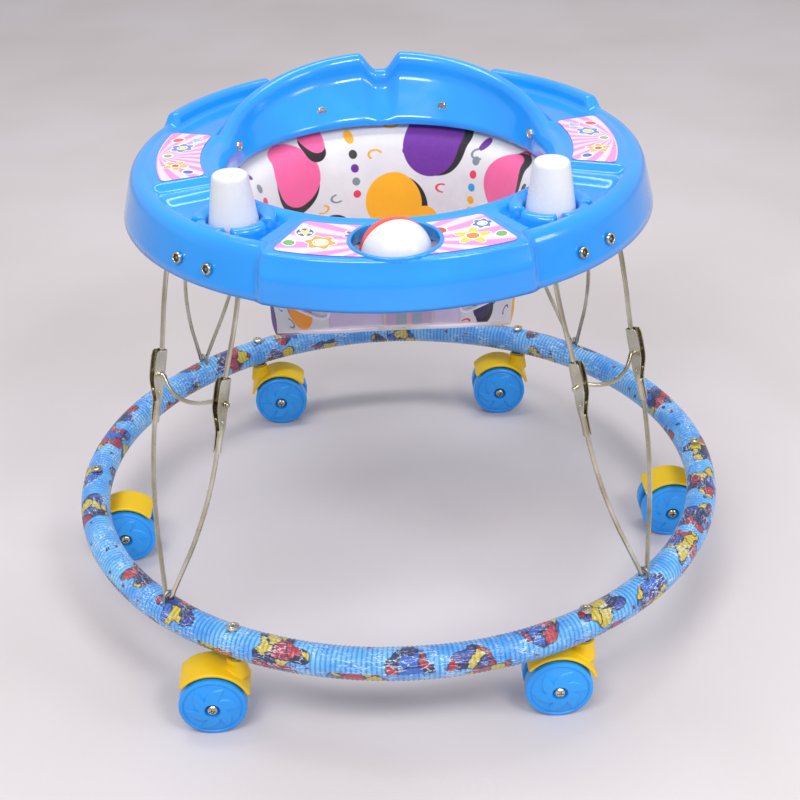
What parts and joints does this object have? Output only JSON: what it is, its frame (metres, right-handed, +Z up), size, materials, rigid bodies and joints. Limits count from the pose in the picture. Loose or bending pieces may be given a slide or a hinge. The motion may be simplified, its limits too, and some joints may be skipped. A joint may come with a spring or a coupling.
{
  "type": "baby walker",
  "caption": "Round baby walker: sleeved steel base ring on swivel casters, folding wire legs, moulded play tray with sling seat, roller ball and cone toys.",
  "frame": {"origin": "on the floor under the centre of the base ring", "axes": "+Z up, -Y towards the front of the tray (the roller ball), +X to the right seen from the front"},
  "size_m": [0.608, 0.608, 0.4456],
  "materials": {
    "steel_tube": "plain drawn steel tube, satin",
    "printed_sleeve": "ribbed sky blue sleeve under a glossy printed clear film",
    "tray_plastic": "glossy moulded sky blue plastic",
    "wheel_plastic": "satin moulded blue plastic",
    "housing_plastic": "satin moulded yellow plastic",
    "nickel_plate": "nickel plated wire and pressed steel",
    "white_plastic": "glossy white plastic",
    "orange_plastic": "glossy orange red plastic",
    "sticker_film": "printed pink sunburst film",
    "seat_fabric": "white woven cloth printed with large coloured dots"
  },
  "bodies": {
    "frame": {"base_tube": "steel_tube", "tube_sleeve": "printed_sleeve", "caster_bolt_front_left": "nickel_plate", "caster_bolt_front_right": "nickel_plate", "caster_bolt_right": "nickel_plate", "caster_bolt_rear_right": "nickel_plate", "caster_bolt_rear_left": "nickel_plate", "caster_bolt_left": "nickel_plate"},
    "lower_leg_front_left": {"lower_wire_front_left": "nickel_plate", "knee_bracket_a_front_left": "nickel_plate", "knee_bracket_b_front_left": "nickel_plate", "knee_bow_front_left": "nickel_plate"},
    "upper_leg_front_left": {"upper_wire_front_left": "nickel_plate"},
    "tray": {"play_tray": "tray_plastic", "leg_clip_front_left": "nickel_plate", "leg_clip_front_right": "nickel_plate", "leg_clip_rear_right": "nickel_plate", "leg_clip_rear_left": "nickel_plate", "sticker_left": "sticker_film", "sticker_right": "sticker_film", "sticker_front_left": "sticker_film", "sticker_front_right": "sticker_film", "sling_seat": "seat_fabric"},
    "lower_leg_front_right": {"lower_wire_front_right": "nickel_plate", "knee_bracket_a_front_right": "nickel_plate", "knee_bracket_b_front_right": "nickel_plate", "knee_bow_front_right": "nickel_plate"},
    "upper_leg_front_right": {"upper_wire_front_right": "nickel_plate"},
    "lower_leg_rear_right": {"lower_wire_rear_right": "nickel_plate", "knee_bracket_a_rear_right": "nickel_plate", "knee_bracket_b_rear_right": "nickel_plate", "knee_bow_rear_right": "nickel_plate"},
    "upper_leg_rear_right": {"upper_wire_rear_right": "nickel_plate"},
    "lower_leg_rear_left": {"lower_wire_rear_left": "nickel_plate", "knee_bracket_a_rear_left": "nickel_plate", "knee_bracket_b_rear_left": "nickel_plate", "knee_bow_rear_left": "nickel_plate"},
    "upper_leg_rear_left": {"upper_wire_rear_left": "nickel_plate"},
    "swivel_front_left": {"caster_housing_front_left": "housing_plastic", "caster_axle_front_left": "nickel_plate"},
    "wheels_front_left": {"caster_wheels_front_left": "wheel_plastic"},
    "swivel_front_right": {"caster_housing_front_right": "housing_plastic", "caster_axle_front_right": "nickel_plate"},
    "wheels_front_right": {"caster_wheels_front_right": "wheel_plastic"},
    "swivel_right": {"caster_housing_right": "housing_plastic", "caster_axle_right": "nickel_plate"},
    "wheels_right": {"caster_wheels_right": "wheel_plastic"},
    "swivel_rear_right": {"caster_housing_rear_right": "housing_plastic", "caster_axle_rear_right": "nickel_plate"},
    "wheels_rear_right": {"caster_wheels_rear_right": "wheel_plastic"},
    "swivel_rear_left": {"caster_housing_rear_left": "housing_plastic", "caster_axle_rear_left": "nickel_plate"},
    "wheels_rear_left": {"caster_wheels_rear_left": "wheel_plastic"},
    "swivel_left": {"caster_housing_left": "housing_plastic", "caster_axle_left": "nickel_plate"},
    "wheels_left": {"caster_wheels_left": "wheel_plastic"},
    "ball": {"ball_half_front": "white_plastic", "ball_half_rear": "orange_plastic"},
    "cone_left": {"cone_left": "white_plastic"},
    "cone_right": {"cone_right": "white_plastic"}
  },
  "joints": [
    {"name": "fold_front_left", "type": "hinge", "parent": "frame", "child": "lower_leg_front_left", "pos_m": [-0.20145, -0.20861, 0.101], "axis": [-0.7193, 0.6947, 0], "range_deg": [0, 40]},
    {"name": "knee_front_left", "type": "hinge", "parent": "lower_leg_front_left", "child": "upper_leg_front_left", "pos_m": [-0.16784, -0.1738, 0.28163], "axis": [-0.7193, 0.6947, 0], "range_deg": [-105, 0]},
    {"name": "tray_level", "type": "hinge", "parent": "upper_leg_front_left", "child": "tray", "pos_m": [-0.14935, -0.15466, 0.381], "axis": [-0.7193, 0.6947, 0], "range_deg": [0, 65]},
    {"name": "fold_front_right", "type": "hinge", "parent": "frame", "child": "lower_leg_front_right", "pos_m": [0.20145, -0.20861, 0.101], "axis": [-0.7193, -0.6947, 0], "range_deg": [0, 40]},
    {"name": "knee_front_right", "type": "hinge", "parent": "lower_leg_front_right", "child": "upper_leg_front_right", "pos_m": [0.16784, -0.1738, 0.28163], "axis": [-0.7193, -0.6947, 0], "range_deg": [-105, 0]},
    {"name": "fold_rear_right", "type": "hinge", "parent": "frame", "child": "lower_leg_rear_right", "pos_m": [0.20145, 0.20861, 0.101], "axis": [0.7193, -0.6947, 0], "range_deg": [0, 40]},
    {"name": "knee_rear_right", "type": "hinge", "parent": "lower_leg_rear_right", "child": "upper_leg_rear_right", "pos_m": [0.16784, 0.1738, 0.28163], "axis": [0.7193, -0.6947, 0], "range_deg": [-105, 0]},
    {"name": "fold_rear_left", "type": "hinge", "parent": "frame", "child": "lower_leg_rear_left", "pos_m": [-0.20145, 0.20861, 0.101], "axis": [0.7193, 0.6947, 0], "range_deg": [0, 40]},
    {"name": "knee_rear_left", "type": "hinge", "parent": "lower_leg_rear_left", "child": "upper_leg_rear_left", "pos_m": [-0.16784, 0.1738, 0.28163], "axis": [0.7193, 0.6947, 0], "range_deg": [-105, 0]},
    {"name": "swivel_front_left", "type": "hinge", "parent": "frame", "child": "swivel_front_left", "pos_m": [-0.145, -0.25115, 0.064], "axis": [0, 0, 1], "continuous": true},
    {"name": "roll_front_left", "type": "hinge", "parent": "swivel_front_left", "child": "wheels_front_left", "pos_m": [-0.167, -0.25115, 0.0285], "axis": [0, 1, 0], "continuous": true},
    {"name": "swivel_front_right", "type": "hinge", "parent": "frame", "child": "swivel_front_right", "pos_m": [0.145, -0.25115, 0.064], "axis": [0, 0, 1], "continuous": true},
    {"name": "roll_front_right", "type": "hinge", "parent": "swivel_front_right", "child": "wheels_front_right", "pos_m": [0.123, -0.25115, 0.0285], "axis": [0, 1, 0], "continuous": true},
    {"name": "swivel_right", "type": "hinge", "parent": "frame", "child": "swivel_right", "pos_m": [0.29, 0, 0.064], "axis": [0, 0, 1], "continuous": true},
    {"name": "roll_right", "type": "hinge", "parent": "swivel_right", "child": "wheels_right", "pos_m": [0.268, 0, 0.0285], "axis": [0, 1, 0], "continuous": true},
    {"name": "swivel_rear_right", "type": "hinge", "parent": "frame", "child": "swivel_rear_right", "pos_m": [0.145, 0.25115, 0.064], "axis": [0, 0, 1], "continuous": true},
    {"name": "roll_rear_right", "type": "hinge", "parent": "swivel_rear_right", "child": "wheels_rear_right", "pos_m": [0.123, 0.25115, 0.0285], "axis": [0, 1, 0], "continuous": true},
    {"name": "swivel_rear_left", "type": "hinge", "parent": "frame", "child": "swivel_rear_left", "pos_m": [-0.145, 0.25115, 0.064], "axis": [0, 0, 1], "continuous": true},
    {"name": "roll_rear_left", "type": "hinge", "parent": "swivel_rear_left", "child": "wheels_rear_left", "pos_m": [-0.123, 0.25115, 0.0285], "axis": [0, 1, 0], "continuous": true},
    {"name": "swivel_left", "type": "hinge", "parent": "frame", "child": "swivel_left", "pos_m": [-0.29, 0, 0.064], "axis": [0, 0, 1], "continuous": true},
    {"name": "roll_left", "type": "hinge", "parent": "swivel_left", "child": "wheels_left", "pos_m": [-0.268, 0, 0.0285], "axis": [0, 1, 0], "continuous": true},
    {"name": "ball_roll", "type": "hinge", "parent": "tray", "child": "ball", "pos_m": [0, -0.188, 0.398], "axis": [1, 0, 0], "continuous": true},
    {"name": "cone_spin_left", "type": "hinge", "parent": "tray", "child": "cone_left", "pos_m": [-0.12504, -0.12948, 0.42], "axis": [0, 0, 1], "continuous": true},
    {"name": "cone_spin_right", "type": "hinge", "parent": "tray", "child": "cone_right", "pos_m": [0.12504, -0.12948, 0.42], "axis": [0, 0, 1], "continuous": true}
  ],
  "couplings": [
    {"joint": "tray_level", "follows": "fold_front_left", "ratio": 1.62},
    {"joint": "knee_front_left", "follows": "fold_front_left", "ratio": -2.62},
    {"joint": "fold_front_right", "follows": "fold_front_left", "ratio": 1},
    {"joint": "knee_front_right", "follows": "fold_front_left", "ratio": -2.62},
    {"joint": "fold_rear_right", "follows": "fold_front_left", "ratio": 1},
    {"joint": "knee_rear_right", "follows": "fold_front_left", "ratio": -2.62},
    {"joint": "fold_rear_left", "follows": "fold_front_left", "ratio": 1},
    {"joint": "knee_rear_left", "follows": "fold_front_left", "ratio": -2.62}
  ]
}
